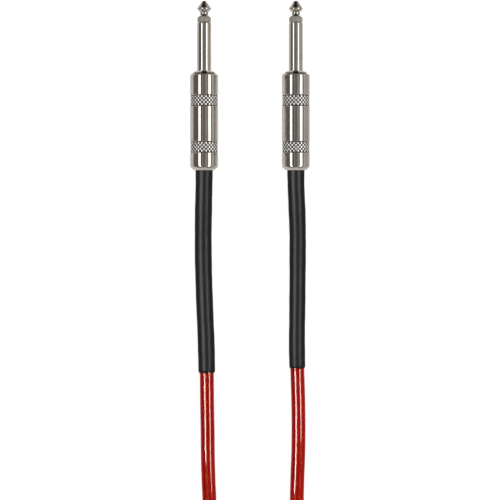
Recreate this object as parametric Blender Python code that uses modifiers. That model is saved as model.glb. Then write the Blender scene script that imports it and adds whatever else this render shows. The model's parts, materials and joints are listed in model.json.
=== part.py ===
"""Instrument cable: two straight quarter-inch phone plugs on one long cable.

The cable lies on the plane Z = 0. The plug tips point to +Y, the plugs' axes lie one barrel
radius above the plane, and the spare cable is folded into a tied hank at the -Y end.
Every piece of a plug is turned or bent about the plug's axis and placed by its station, the
distance from the tip's end towards the cable. All sizes are in metres.
"""

import math

import bmesh
import bpy
import numpy as np

# Plug, outside
BARREL_RADIUS = 0.00635
FINGER_RADIUS = 0.003175
FINGER_LENGTH = 0.03175
PLUG_LENGTH = 0.0763
PLUG_SPACING = 0.0413
TIP_Y = 0.0838
GAP = 0.0003

# Tip contact and its insulating ring
NOSE_RADIUS = 0.0010
NOSE_EDGE = 0.00015
TIP_PEAK_STATION = 0.0035
TIP_EDGE_ROUND = 0.0007
TIP_FRONT_DEG = 35
TIP_BACK_DEG = 45
NECK_STATION = 0.0053
NECK_RADIUS = 0.00185
NECK_ROUND = 0.0003
RING_STATION = 0.0066
RING_FLARE_STATION = 0.0077
RING_FLARE_ROUND = 0.0003
RING_FLARE_DEG = 40
RING_RADIUS = 0.003075
RING_END_STATION = 0.0096
RING_BORE = 0.0014
ROD_RADIUS = 0.0011
ROD_HEAD_RADIUS = 0.0016
ROD_SLEEVE_RADIUS = 0.00195

# Plug body: finger, shoulder and thread
BODY_BORE = 0.00225
FINGER_EDGE = 0.0002
SHOULDER_RADIUS = 0.0053
SHOULDER_SEAT_RADIUS = 0.0043
SHOULDER_LENGTH = 0.0009
SHOULDER_RIM = 0.0001
THREAD_PITCH = 0.00079375
THREAD_TURNS = 6
THREAD_STATION = 0.0336
THREAD_CREST = 0.0050
THREAD_ROOT = 0.0045
BODY_TAIL_RADIUS = 0.0042
BODY_END_STATION = 0.0406

# Terminals behind the body
PLATE_THICKNESS = 0.0006
GROUND_PLATE_STATION = 0.0409
GROUND_PLATE_RADIUS = 0.0039
WASHER_STATION = 0.0418
WASHER_THICKNESS = 0.0010
WASHER_RADIUS = 0.0031
TIP_PLATE_STATION = 0.0431
TIP_PLATE_RADIUS = 0.0031
ROD_HEAD_STATION = 0.0440
ROD_END_STATION = 0.0446
STRIP_THICKNESS = 0.00045
TONGUE_HEIGHT = 0.00195
TONGUE_WIDTH = 0.0024
TONGUE_END_STATION = 0.0510
TAIL_DEPTH = 0.0039
TAIL_WIDTH = 0.0026
CLAMP_STATION = 0.0575
CLAMP_LENGTH = 0.0040
CLAMP_INNER_RADIUS = 0.0035
CLAMP_OUTER_RADIUS = 0.0040
CLAMP_OPENING_DEG = 64

# Barrel and its liner
BARREL_STATION = 0.03295
BARREL_MOUTH_RADIUS = 0.0055
BARREL_THREAD_BORE = 0.0053
BARREL_THREAD_END = 0.0394
BARREL_BORE = 0.0050
BARREL_REAR_ROUND = 0.0016
BARREL_REAR_ROUND_DEG = 42
BARREL_REAR_CROWN = 0.0050
BARREL_REAR_HOLE = 0.00415
BARREL_REAR_EDGE = 0.0003
BARREL_REAR_WALL = 0.0027
KNURL_STATIONS = (0.0423, 0.0633)
KNURL_LENGTH = 0.0053
KNURL_DEPTH = 0.0002
LINER_RADIUS = 0.0047
LINER_BORE = 0.0044
LINER_STATIONS = (0.0420, 0.0732)

# Cable and what is stripped from its end
CABLE_RADIUS = 0.003175
CABLE_DIAMETER = 2 * CABLE_RADIUS
JACKET_STATION = 0.0560
CORE_RADIUS = 0.0009
CORE_HEIGHT = 0.0006
CORE_STRIP_STATION = 0.0525
CORE_BARE_END_STATION = 0.0475
COPPER_RADIUS = 0.00035
SHIELD_TAIL_RADIUS = 0.0007
SHIELD_TAIL_DEPTH = 0.0013
SHIELD_TAIL_END_STATION = 0.0480
SLEEVE_RADIUS = 0.00385
SLEEVE_WALL = 0.00035
SLEEVE_STATION = 0.0700

# Hank of spare cable, tied at its waist
FOLD_RADIUS = 3 * CABLE_DIAMETER
WAIST_HALF = 0.0033
HANK_HALF_RUN = 0.0539
HANK_ROWS = 4
HANK_COLUMNS = 2
HANK_CENTRE = (-0.0006, -0.2475)
TIE_WIDTH = 0.020
TIE_THICKNESS = 0.0012
TIE_HALF_OPENING = 0.0140
TIE_OPENING_HEIGHT = 0.0257
TIE_CORNER = 0.0022

# Route of each free cable end from its plug to the hank: points on its centreline, by hand.
LEFT_X = -PLUG_SPACING / 2
RIGHT_X = PLUG_SPACING / 2
ROUTES = {
    "left": (
        (LEFT_X, 0.0278, 0.00635),
        (LEFT_X, 0.0180, 0.00635),
        (LEFT_X, 0.0080, 0.00635),
        (LEFT_X - 0.00005, 0.0010, 0.00632),
        (-0.02090, -0.0080, 0.0059),
        (-0.02108, -0.0200, 0.0050),
        (-0.02105, -0.0320, 0.0042),
        (-0.02075, -0.0445, 0.0039),
        (-0.02030, -0.0570, 0.00385),
        (-0.01978, -0.0700, 0.00385),
        (-0.01948, -0.0850, 0.00385),
        (-0.01935, -0.0980, 0.00372),
        (-0.01912, -0.1100, 0.00355),
        (-0.01900, -0.1220, 0.0034),
        (-0.01868, -0.1330, 0.00328),
        (-0.01832, -0.1420, 0.0032),
        (-0.01850, -0.1540, 0.0032),
        (-0.01930, -0.1680, 0.0032),
        (-0.01965, -0.1810, 0.0032),
        (-0.01965, -0.1936, 0.0032),
    ),
    "right": (
        (RIGHT_X, 0.0278, 0.00635),
        (RIGHT_X, 0.0180, 0.00635),
        (RIGHT_X, 0.0080, 0.00635),
        (RIGHT_X + 0.00007, 0.0010, 0.00632),
        (0.02108, -0.0080, 0.0059),
        (0.02148, -0.0200, 0.0050),
        (0.02150, -0.0320, 0.0042),
        (0.02143, -0.0445, 0.0039),
        (0.02132, -0.0570, 0.00385),
        (0.02118, -0.0700, 0.00385),
        (0.02138, -0.0830, 0.00385),
        (0.02176, -0.0960, 0.00373),
        (0.02192, -0.1080, 0.00356),
        (0.02178, -0.1200, 0.0034),
        (0.02140, -0.1310, 0.00328),
        (0.02120, -0.1420, 0.0032),
        (0.02200, -0.1540, 0.0032),
        (0.02380, -0.1680, 0.0032),
        (0.02475, -0.1810, 0.0032),
        (0.02480, -0.1936, 0.0032),
    ),
}
SLEEVE_END_Y = {"left": -0.0838, "right": -0.0817}
CABLE_END_Y = {"left": -0.1692, "right": -0.1742}
ROUTE_STEP = 2 * CABLE_DIAMETER
SPAN_SAMPLES = 40

OUTER_STEPS = 32
INNER_STEPS = 20
SHARP_DEG = 30


def clear_scene():
    for ob in list(bpy.data.objects):
        bpy.data.objects.remove(ob, do_unlink=True)


def new_collection(name):
    made = bpy.data.collections.new(name)
    bpy.context.scene.collection.children.link(made)
    return made


def make_material(name, colour, roughness, metallic=0.0):
    made = bpy.data.materials.new(name)
    made.use_nodes = True
    shader = made.node_tree.nodes["Principled BSDF"]
    shader.inputs["Base Color"].default_value = (*colour, 1.0)
    shader.inputs["Roughness"].default_value = roughness
    shader.inputs["Metallic"].default_value = metallic
    made.diffuse_color = (*colour, 1.0)
    return made


clear_scene()
PARTS = new_collection("instrument_cable")
CUTTERS = new_collection("cutters")
NICKEL = make_material("nickel_plate", (0.62, 0.59, 0.55), 0.18, 1.0)
TINNED = make_material("tinned_brass", (0.66, 0.62, 0.50), 0.35, 1.0)
INSULATOR = make_material("grey_insulator", (0.31, 0.285, 0.245), 0.40)
FIBRE = make_material("fibre_board", (0.30, 0.12, 0.07), 0.80)
LINER_FILM = make_material("liner_film", (0.85, 0.84, 0.78), 0.30)
SHRINK = make_material("shrink_sleeve_black", (0.035, 0.035, 0.037), 0.60)
JACKET = make_material("red_jacket", (0.45, 0.01, 0.02), 0.15)
POLYTHENE = make_material("core_polythene", (0.88, 0.87, 0.82), 0.40)
COPPER = make_material("shield_copper", (0.72, 0.38, 0.22), 0.30, 1.0)
HOOK_TAPE = make_material("hook_and_loop_tape", (0.03, 0.03, 0.03), 0.90)


def place(ob, material, parent=None, collection=None):
    ob.data.materials.append(material)
    (collection or PARTS).objects.link(ob)
    ob.parent = parent
    return ob


def as_operand(ob):
    """Marks a helper solid that only cuts or joins another."""
    ob.hide_render = True
    ob.display_type = "WIRE"
    return ob


def arc(centre, radius, start_deg, end_deg, steps):
    """Points (station, radius) on an arc. 90 degrees points away from the axis."""
    turns = np.radians(np.linspace(start_deg, end_deg, steps + 1))
    return [(centre[0] + radius * math.cos(a), centre[1] + radius * math.sin(a)) for a in turns]


def turned(name, profile, material, parent, steps, closed=False, collection=None):
    """A solid of revolution from points (station, radius), listed from the tip end along the
    outer side. A closed profile comes back along the bore."""
    mesh = bpy.data.meshes.new(name)
    verts = [(radius, 0.0, -station) for station, radius in profile]
    count = len(verts)
    edges = [(i, i + 1) for i in range(count - 1)]
    if closed:
        edges.append((count - 1, 0))
    mesh.from_pydata(verts, edges, [])
    ob = place(bpy.data.objects.new(name, mesh), material, parent, collection)
    screw = ob.modifiers.new("turn", "SCREW")
    screw.steps = steps
    screw.render_steps = steps
    screw.use_merge_vertices = True
    screw.merge_threshold = 0.00001
    screw.use_smooth_shade = True
    return ob


def bar(name, low, high, material, parent, collection=None):
    """A straight strip of metal between two corners, in the plug's own axes."""
    mesh = bpy.data.meshes.new(name)
    bm = bmesh.new()
    bmesh.ops.create_cube(bm, size=1.0)
    size = np.subtract(high, low)
    middle = np.add(high, low) / 2
    bmesh.ops.scale(bm, vec=size, verts=bm.verts)
    bmesh.ops.translate(bm, vec=middle, verts=bm.verts)
    bm.to_mesh(mesh)
    bm.free()
    return place(bpy.data.objects.new(name, mesh), material, parent, collection)


def flat_outline(name, outlines, thickness, material, parent=None, collection=None):
    """A flat plate from closed outlines in its own XY plane; inner outlines are holes."""
    curve = bpy.data.curves.new(name, "CURVE")
    curve.dimensions = "2D"
    curve.fill_mode = "BOTH"
    curve.extrude = thickness / 2
    for outline in outlines:
        spline = curve.splines.new("POLY")
        spline.points.add(len(outline) - 1)
        for point, (x, y) in zip(spline.points, outline, strict=True):
            point.co = (x, y, 0.0, 1.0)
        spline.use_cyclic_u = True
    return place(bpy.data.objects.new(name, curve), material, parent, collection)


def curve_to_mesh(curve_ob):
    """Replaces a curve object by a closed mesh of the same name, so that it can be cut."""
    bpy.context.view_layer.update()
    graph = bpy.context.evaluated_depsgraph_get()
    mesh = bpy.data.meshes.new_from_object(curve_ob.evaluated_get(graph))
    bm = bmesh.new()
    bm.from_mesh(mesh)
    bmesh.ops.remove_doubles(bm, verts=bm.verts, dist=0.000001)
    bm.to_mesh(mesh)
    bm.free()
    mesh.shade_smooth()
    mesh.set_sharp_from_angle(angle=math.radians(SHARP_DEG))
    name = curve_ob.name
    parent = curve_ob.parent
    location = curve_ob.matrix_local.copy()
    home = curve_ob.users_collection[0]
    bpy.data.objects.remove(curve_ob, do_unlink=True)
    ob = bpy.data.objects.new(name, mesh)
    home.objects.link(ob)
    ob.parent = parent
    ob.matrix_local = location
    return ob


def combine(ob, operand, operation):
    as_operand(operand)
    step = ob.modifiers.new(operation.lower(), "BOOLEAN")
    step.operation = operation
    step.object = operand
    return ob


def smooth_route(points, step):
    """Points about one step apart on a smooth curve through the route's own points."""
    route = np.array(points)
    spans = np.sqrt(np.linalg.norm(np.diff(route, axis=0), axis=1))
    knots = np.concatenate([[0.0], np.cumsum(spans)])
    slopes = np.gradient(route, knots, axis=0)
    fine = []
    for i, span in enumerate(spans):
        for u in np.linspace(0.0, 1.0, SPAN_SAMPLES, endpoint=False):
            start = (1 + 2 * u) * (1 - u) ** 2 * route[i] + u * (1 - u) ** 2 * span * slopes[i]
            end = u * u * (3 - 2 * u) * route[i + 1] + u * u * (u - 1) * span * slopes[i + 1]
            fine.append(start + end)
    return spaced(np.array(fine + [route[-1]]), step)


def between(route, high_y, low_y):
    """The stretch of a densely read route between two places along Y."""
    inside = route[(route[:, 1] < high_y) & (route[:, 1] > low_y)]
    ends = [[np.interp(-y, -route[:, 1], route[:, k]) for k in range(3)] for y in (high_y, low_y)]
    return np.vstack([ends[0], inside, ends[1]])


def spaced(points, step):
    """The same line with its points evenly spaced, about one step apart."""
    along = np.concatenate([[0.0], np.cumsum(np.linalg.norm(np.diff(points, axis=0), axis=1))])
    at = np.linspace(0.0, along[-1], max(2, round(along[-1] / step) + 1))
    return np.stack([np.interp(at, along, points[:, k]) for k in range(3)], axis=1)


def tube(name, points, radius, material, sides=3, caps=True, radii=None):
    """A round bar along a line of points. Radii, where given, scale it point by point."""
    curve = bpy.data.curves.new(name, "CURVE")
    curve.dimensions = "3D"
    curve.bevel_depth = radius
    curve.bevel_resolution = sides
    curve.use_fill_caps = caps
    spline = curve.splines.new("POLY")
    spline.points.add(len(points) - 1)
    for i, point in enumerate(points):
        spline.points[i].co = (*point, 1.0)
        spline.points[i].radius = radii[i] if radii else 1.0
    spline.use_smooth = True
    return place(bpy.data.objects.new(name, curve), material)


def plug_axis(side, x):
    """The empty at a plug's tip end. Its -Z runs along the axis towards the cable."""
    ob = bpy.data.objects.new(f"{side}_plug_axis", None)
    ob.location = (x, TIP_Y, BARREL_RADIUS)
    ob.rotation_euler = (-math.pi / 2, 0.0, 0.0)
    PARTS.objects.link(ob)
    return ob


def tip_contact(side, axis):
    """Nose, waist and neck, and the rod that runs through the body to its peened head."""
    peak = (TIP_PEAK_STATION, FINGER_RADIUS - TIP_EDGE_ROUND)
    waist = (NECK_STATION, NECK_RADIUS + NECK_ROUND)
    neck_end = RING_STATION - GAP
    profile = [(0.0, 0.0), (0.0, NOSE_RADIUS - NOSE_EDGE), (NOSE_EDGE, NOSE_RADIUS)]
    profile += arc(peak, TIP_EDGE_ROUND, 90 + TIP_FRONT_DEG, 90 - TIP_BACK_DEG, 4)
    profile += arc(waist, NECK_ROUND, 270 - TIP_BACK_DEG, 270, 2)
    profile += arc((neck_end - NECK_ROUND, NECK_RADIUS - NECK_ROUND), NECK_ROUND, 90, 0, 2)
    profile += [
        (neck_end, ROD_RADIUS),
        (ROD_HEAD_STATION, ROD_RADIUS),
        (ROD_HEAD_STATION, ROD_HEAD_RADIUS),
        (ROD_END_STATION, ROD_RADIUS),
        (ROD_END_STATION, 0.0),
    ]
    return turned(f"{side}_tip", profile, NICKEL, axis, INNER_STEPS + 4)


def tip_ring(side, axis):
    """The insulating ring between tip and finger, coned at the front."""
    flare = (RING_FLARE_STATION, RING_RADIUS - RING_FLARE_ROUND)
    profile = [(RING_STATION, RING_BORE), (RING_STATION, NECK_RADIUS)]
    profile += arc(flare, RING_FLARE_ROUND, 90 + RING_FLARE_DEG, 90, 2)
    profile += [(RING_END_STATION, RING_RADIUS), (RING_END_STATION, RING_BORE)]
    return turned(f"{side}_tip_ring", profile, INSULATOR, axis, INNER_STEPS + 4, closed=True)


def rod_sleeve(side, axis):
    start = RING_END_STATION + GAP
    end = BODY_END_STATION - GAP
    profile = [
        (start, RING_BORE),
        (start, ROD_SLEEVE_RADIUS),
        (end, ROD_SLEEVE_RADIUS),
        (end, RING_BORE),
    ]
    return turned(f"{side}_rod_sleeve", profile, INSULATOR, axis, INNER_STEPS, closed=True)


def thread_profile():
    """Ridges of the external thread, one turn each."""
    points = []
    for turn in range(THREAD_TURNS):
        station = THREAD_STATION + turn * THREAD_PITCH
        points += [(station, THREAD_ROOT), (station + THREAD_PITCH / 2, THREAD_CREST)]
    return points + [(THREAD_STATION + THREAD_TURNS * THREAD_PITCH, THREAD_ROOT)]


def plug_body(side, axis):
    """Finger, chamfered shoulder that seats on the jack, thread for the barrel and riveting end."""
    start = RING_END_STATION + GAP
    shoulder_end = FINGER_LENGTH + SHOULDER_LENGTH
    profile = [
        (start, BODY_BORE),
        (start, FINGER_RADIUS - FINGER_EDGE),
        (start + FINGER_EDGE, FINGER_RADIUS),
        (FINGER_LENGTH, FINGER_RADIUS),
        (FINGER_LENGTH, SHOULDER_SEAT_RADIUS),
        (shoulder_end - SHOULDER_RIM, SHOULDER_RADIUS),
        (shoulder_end, SHOULDER_RADIUS),
        (shoulder_end, THREAD_ROOT),
    ]
    profile += thread_profile()
    profile += [
        (THREAD_STATION + THREAD_TURNS * THREAD_PITCH, BODY_TAIL_RADIUS),
        (BODY_END_STATION, BODY_TAIL_RADIUS),
        (BODY_END_STATION, BODY_BORE),
    ]
    return turned(f"{side}_plug_body", profile, NICKEL, axis, INNER_STEPS + 4, closed=True)


def washer_profile(station, thickness, outer, inner):
    return [
        (station, inner),
        (station, outer),
        (station + thickness, outer),
        (station + thickness, inner),
    ]


def rear_washer(side, axis):
    profile = washer_profile(WASHER_STATION, WASHER_THICKNESS, WASHER_RADIUS, RING_BORE)
    return turned(f"{side}_rear_washer", profile, FIBRE, axis, INNER_STEPS, closed=True)


def tip_lug(side, axis):
    """Terminal plate under the rod's head, with the tongue that the core is soldered to."""
    profile = washer_profile(TIP_PLATE_STATION, PLATE_THICKNESS, TIP_PLATE_RADIUS, RING_BORE)
    lug = turned(f"{side}_tip_lug", profile, TINNED, axis, INNER_STEPS, closed=True)
    low = (-TONGUE_WIDTH / 2, -TONGUE_HEIGHT - STRIP_THICKNESS, -TONGUE_END_STATION)
    high = (TONGUE_WIDTH / 2, -TONGUE_HEIGHT, -TIP_PLATE_STATION - PLATE_THICKNESS / 3)
    tongue = bar(f"{side}_tongue", low, high, TINNED, axis, CUTTERS)
    return combine(lug, tongue, "UNION")


def clamp_outline():
    """The two fingers bent round the jacket, open at the top."""
    half = CLAMP_OPENING_DEG / 2
    turns = np.radians(np.linspace(-90 + half, 270 - half, 17))
    outer = [(CLAMP_OUTER_RADIUS * math.cos(a), CLAMP_OUTER_RADIUS * math.sin(a)) for a in turns]
    inner = [(CLAMP_INNER_RADIUS * math.cos(a), CLAMP_INNER_RADIUS * math.sin(a)) for a in turns]
    return outer + inner[::-1]


def ground_lug(side, axis):
    """Sleeve terminal: a plate on the body's end, a strip along the bottom and a cable clamp."""
    profile = washer_profile(
        GROUND_PLATE_STATION, PLATE_THICKNESS, GROUND_PLATE_RADIUS, BODY_BORE
    )
    lug = turned(f"{side}_ground_lug", profile, TINNED, axis, INNER_STEPS, closed=True)
    low = (-TAIL_WIDTH / 2, TAIL_DEPTH - STRIP_THICKNESS, -CLAMP_STATION - CLAMP_LENGTH / 2)
    high = (TAIL_WIDTH / 2, TAIL_DEPTH, -GROUND_PLATE_STATION - PLATE_THICKNESS / 3)
    tail = bar(f"{side}_tail_strip", low, high, TINNED, axis, CUTTERS)
    clamp = flat_outline(
        f"{side}_clamp", [clamp_outline()], CLAMP_LENGTH, TINNED, axis, CUTTERS
    )
    clamp.location.z = -CLAMP_STATION - CLAMP_LENGTH / 2
    clamp = curve_to_mesh(clamp)
    combine(lug, tail, "UNION")
    return combine(lug, clamp, "UNION")


def knurl_band(station):
    """The shallow step of a knurled band in the barrel's outer profile."""
    low = BARREL_RADIUS - KNURL_DEPTH
    end = station + KNURL_LENGTH
    return [
        (station, BARREL_RADIUS),
        (station + KNURL_DEPTH, low),
        (end - KNURL_DEPTH, low),
        (end, BARREL_RADIUS),
    ]


def rear_outline():
    """The barrel's rear: a tight round that runs into a flatter crown, down to the cable hole."""
    turned_deg = 90 - BARREL_REAR_ROUND_DEG
    turned_by = math.radians(turned_deg)
    reach = BARREL_REAR_CROWN - BARREL_REAR_ROUND
    crown_radius = BARREL_RADIUS - BARREL_REAR_ROUND - reach * math.sin(turned_by)
    rise = BARREL_REAR_HOLE + BARREL_REAR_EDGE - crown_radius
    last = math.asin(rise / BARREL_REAR_CROWN)
    crown_station = PLUG_LENGTH - BARREL_REAR_CROWN * math.cos(last)
    round_centre = (crown_station + reach * math.cos(turned_by), BARREL_RADIUS - BARREL_REAR_ROUND)
    crown_centre = (crown_station, crown_radius)
    outline = arc(round_centre, BARREL_REAR_ROUND, 90, turned_deg, 3)
    outline += arc(crown_centre, BARREL_REAR_CROWN, turned_deg, math.degrees(last), 3)[1:]
    return outline


def barrel(side, axis):
    """Screw-on handle: rounded mouth, two knurled bands, and a rear hole for the cable."""
    front = BARREL_RADIUS - BARREL_MOUTH_RADIUS
    profile = [(BARREL_STATION, BARREL_THREAD_BORE)]
    profile += arc((BARREL_STATION + front, BARREL_MOUTH_RADIUS), front, 180, 90, 4)
    for station in KNURL_STATIONS:
        profile += knurl_band(station)
    profile += rear_outline()
    profile += [
        (PLUG_LENGTH, BARREL_REAR_HOLE),
        (PLUG_LENGTH - BARREL_REAR_WALL, BARREL_REAR_HOLE),
        (PLUG_LENGTH - BARREL_REAR_WALL, BARREL_BORE),
        (BARREL_THREAD_END, BARREL_BORE),
        (BARREL_THREAD_END, BARREL_THREAD_BORE),
    ]
    return turned(f"{side}_barrel", profile, NICKEL, axis, OUTER_STEPS, closed=True)


def barrel_liner(side, axis):
    start, end = LINER_STATIONS
    profile = washer_profile(start, end - start, LINER_RADIUS, LINER_BORE)
    return turned(f"{side}_barrel_liner", profile, LINER_FILM, axis, INNER_STEPS, closed=True)


def on_axis(x, station, height=0.0):
    """A world point at a station of a plug's axis, raised above it."""
    return (x, TIP_Y - station, BARREL_RADIUS + height)


def core_wire(side, x):
    """Insulated core from the jacket's end, its bared strands under the tip lug's tongue."""
    bare = COPPER_RADIUS / CORE_RADIUS
    lift = TONGUE_HEIGHT - GAP - COPPER_RADIUS
    points = [
        on_axis(x, JACKET_STATION - GAP, CORE_HEIGHT),
        on_axis(x, CORE_STRIP_STATION, 1.5 * CORE_HEIGHT),
        on_axis(x, CORE_STRIP_STATION - GAP, 1.6 * CORE_HEIGHT),
        on_axis(x, TONGUE_END_STATION, lift),
        on_axis(x, CORE_BARE_END_STATION, lift),
    ]
    radii = [1.0, 1.0, bare, bare, bare]
    return tube(f"{side}_core_wire", points, CORE_RADIUS, POLYTHENE, sides=2, radii=radii)


def shield_tail(side, x):
    """The shield's strands, twisted together and laid on the ground lug's strip."""
    rest = TAIL_DEPTH - STRIP_THICKNESS - GAP - SHIELD_TAIL_RADIUS
    points = [
        on_axis(x, JACKET_STATION - GAP, -SHIELD_TAIL_DEPTH),
        on_axis(x, JACKET_STATION - 5 * SHIELD_TAIL_RADIUS, -rest),
        on_axis(x, SHIELD_TAIL_END_STATION, -rest),
    ]
    return tube(f"{side}_shield_tail", points, SHIELD_TAIL_RADIUS, COPPER, sides=2)


def shrink_sleeve(side, route):
    """Heat-shrunk sleeve over the jacket, from inside the barrel's rear hole."""
    line = between(route, TIP_Y - SLEEVE_STATION, SLEEVE_END_Y[side])
    line = spaced(line, ROUTE_STEP)
    ob = tube(f"{side}_shrink_sleeve", line, SLEEVE_RADIUS, SHRINK, caps=False)
    wall = ob.modifiers.new("wall", "SOLIDIFY")
    wall.thickness = SLEEVE_WALL
    wall.offset = -1.0
    return ob


def free_cable(side, route):
    """The cable from its stripped end in the plug to the hank."""
    line = between(route, TIP_Y - JACKET_STATION, CABLE_END_Y[side])
    return tube(f"{side}_cable", spaced(line, ROUTE_STEP), CABLE_RADIUS, JACKET)


def lap_outline(offset):
    """One lap of the hank, pinched at the waist, grown outwards by an offset. Two fold arcs
    and two waist arcs meet with a common tangent."""
    waist = (HANK_HALF_RUN**2 - FOLD_RADIUS**2 + WAIST_HALF**2) / (2 * (FOLD_RADIUS - WAIST_HALF))
    lean = math.atan2(HANK_HALF_RUN, waist + WAIST_HALF)
    points = []
    for end in (1, -1):
        middle = math.pi / 2 * end
        for a in np.linspace(middle - math.pi / 2 - lean, middle + math.pi / 2 + lean, 25):
            points.append(
                (
                    (FOLD_RADIUS + offset) * math.cos(a),
                    end * HANK_HALF_RUN + (FOLD_RADIUS + offset) * math.sin(a),
                )
            )
        side = -end
        for a in np.linspace(lean, -lean, 9)[1:-1]:
            x = side * (waist + WAIST_HALF - (waist - offset) * math.cos(a))
            points.append((x, end * (waist - offset) * math.sin(a)))
    return points


def cable_hank():
    """Outer shape of the folded spare cable, with a shallow slot where the tie passes under."""
    outline = lap_outline((HANK_COLUMNS - 0.5) * CABLE_DIAMETER)
    height = HANK_ROWS * CABLE_DIAMETER
    hank = flat_outline("cable_hank", [outline], height, JACKET)
    hank.location = (*HANK_CENTRE, height / 2)
    hank = curve_to_mesh(hank)
    x, y = HANK_CENTRE
    reach = FOLD_RADIUS + HANK_COLUMNS * CABLE_DIAMETER
    low = (x - reach, y - TIE_WIDTH / 2 - GAP, -CABLE_RADIUS)
    high = (x + reach, y + TIE_WIDTH / 2 + GAP, TIE_THICKNESS + GAP)
    slot = bar("tie_slot", low, high, JACKET, None, CUTTERS)
    return combine(hank, slot, "DIFFERENCE")


def rounded_box(half_width, low, high, corner):
    points = []
    for start, x, y in (
        (0, half_width - corner, high - corner),
        (90, corner - half_width, high - corner),
        (180, corner - half_width, low + corner),
        (270, half_width - corner, low + corner),
    ):
        points += arc((x, y), corner, start, start + 90, 4)
    return points


def hank_tie():
    """Hook-and-loop tie round the hank's waist."""
    low = TIE_THICKNESS
    high = TIE_THICKNESS + TIE_OPENING_HEIGHT
    inner = rounded_box(TIE_HALF_OPENING, low, high, TIE_CORNER - TIE_THICKNESS)
    outer = rounded_box(
        TIE_HALF_OPENING + TIE_THICKNESS, 0.0, high + TIE_THICKNESS, TIE_CORNER
    )
    tie = flat_outline("hank_tie", [outer, inner], TIE_WIDTH, HOOK_TAPE)
    tie.rotation_euler = (math.pi / 2, 0.0, 0.0)
    tie.location = (*HANK_CENTRE, 0.0)
    return tie


def build():
    for side, x in (("left", LEFT_X), ("right", RIGHT_X)):
        axis = plug_axis(side, x)
        for piece in (
            tip_contact,
            tip_ring,
            rod_sleeve,
            plug_body,
            ground_lug,
            rear_washer,
            tip_lug,
            barrel,
            barrel_liner,
        ):
            piece(side, axis)
        core_wire(side, x)
        shield_tail(side, x)
        route = smooth_route(ROUTES[side], CABLE_RADIUS / 4)
        shrink_sleeve(side, route)
        free_cable(side, route)
    cable_hank()
    hank_tie()


build()
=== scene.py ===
"""Looks of the instrument cable: two quarter-inch plugs with black shrink sleeves, on a clear
red cable that shows its copper shield. Seen from above on a pale floor.

Metres, in the CAD model's frame: +Y towards the plug tips, +Z up, the floor at Z = 0.
"""

import json
import math

import bmesh
import bpy
import numpy as np
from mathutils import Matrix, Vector

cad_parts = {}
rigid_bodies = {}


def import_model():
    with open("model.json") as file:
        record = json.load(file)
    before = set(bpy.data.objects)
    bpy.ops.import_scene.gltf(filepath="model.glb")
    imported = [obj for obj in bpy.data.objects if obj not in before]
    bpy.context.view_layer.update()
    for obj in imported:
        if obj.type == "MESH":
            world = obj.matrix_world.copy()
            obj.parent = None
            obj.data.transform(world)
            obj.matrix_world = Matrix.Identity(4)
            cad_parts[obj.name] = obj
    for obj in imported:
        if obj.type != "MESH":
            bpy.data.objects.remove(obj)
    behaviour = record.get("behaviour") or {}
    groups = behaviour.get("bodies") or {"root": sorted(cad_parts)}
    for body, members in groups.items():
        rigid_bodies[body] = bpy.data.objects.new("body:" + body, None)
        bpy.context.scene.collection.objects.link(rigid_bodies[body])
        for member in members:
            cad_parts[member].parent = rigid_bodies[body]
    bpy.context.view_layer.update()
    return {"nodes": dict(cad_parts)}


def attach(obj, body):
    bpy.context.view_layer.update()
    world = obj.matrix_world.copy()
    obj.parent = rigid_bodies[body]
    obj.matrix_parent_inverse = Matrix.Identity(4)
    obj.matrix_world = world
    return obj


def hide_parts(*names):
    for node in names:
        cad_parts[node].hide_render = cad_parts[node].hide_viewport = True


for leftover in list(bpy.data.objects):
    bpy.data.objects.remove(leftover)
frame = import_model()

# ---------------------------------------------------------------- sizes
# The pieces' own sizes are the CAD's. A station is a distance behind a plug's tip end.
BARREL_RADIUS = 0.00635
FINGER_RADIUS = 0.003175
FINGER_LENGTH = 0.03175
PLUG_LENGTH = 0.0763
PLUG_SPACING = 0.0413
TIP_Y = 0.0838
GAP = 0.0003

# Broken edges, which catch the light
EDGE = 0.0002
FINE_EDGE = 0.0001
HAIR_EDGE = 0.00005

NOSE_RADIUS = 0.0010
NOSE_ROUND = 0.00025
TIP_PEAK_STATION = 0.0035
TIP_EDGE_ROUND = 0.0007
TIP_FRONT_DEG = 35
TIP_BACK_DEG = 45
NECK_STATION = 0.0053
NECK_RADIUS = 0.00185
NECK_ROUND = 0.0003
RING_STATION = 0.0066
RING_FLARE_STATION = 0.0077
RING_FLARE_ROUND = 0.0003
RING_FLARE_DEG = 40
RING_RADIUS = 0.003075
RING_END_STATION = 0.0096
RING_BORE = 0.0014
ROD_RADIUS = 0.0011
ROD_HEAD_RADIUS = 0.0016
ROD_HEAD_STATION = 0.0440
ROD_HEAD_RIM = 0.0003
ROD_END_STATION = 0.0446

BODY_BORE = 0.00225
SHOULDER_RADIUS = 0.0053
SHOULDER_SEAT_RADIUS = 0.0043
SHOULDER_LENGTH = 0.0009
SHOULDER_RIM = 0.0001
SHOULDER_RIM_STEP = 0.00006
THREAD_PITCH = 0.00079375
THREAD_TURNS = 6
THREAD_STEEPNESS = 1.3
THREAD_STATION = 0.0336
THREAD_CREST = 0.0050
THREAD_ROOT = 0.0045
THREAD_CLEARANCE = 0.00022
BODY_TAIL_RADIUS = 0.0042
BODY_END_STATION = 0.0406

BARREL_STATION = 0.03295
BARREL_MOUTH_RADIUS = 0.0055
BARREL_THREAD_BORE = 0.0053
BARREL_THREAD_END = 0.0394
BARREL_THREAD_RUNOUT = 0.0004
BARREL_BORE = 0.0050
BARREL_REAR_ROUND = 0.0016
BARREL_REAR_ROUND_DEG = 42
BARREL_REAR_CROWN = 0.0050
BARREL_REAR_HOLE = 0.00415
BARREL_REAR_EDGE = 0.0003
BARREL_REAR_WALL = 0.0027
KNURL_STATIONS = (0.0423, 0.0633)
KNURL_LENGTH = 0.0053
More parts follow.
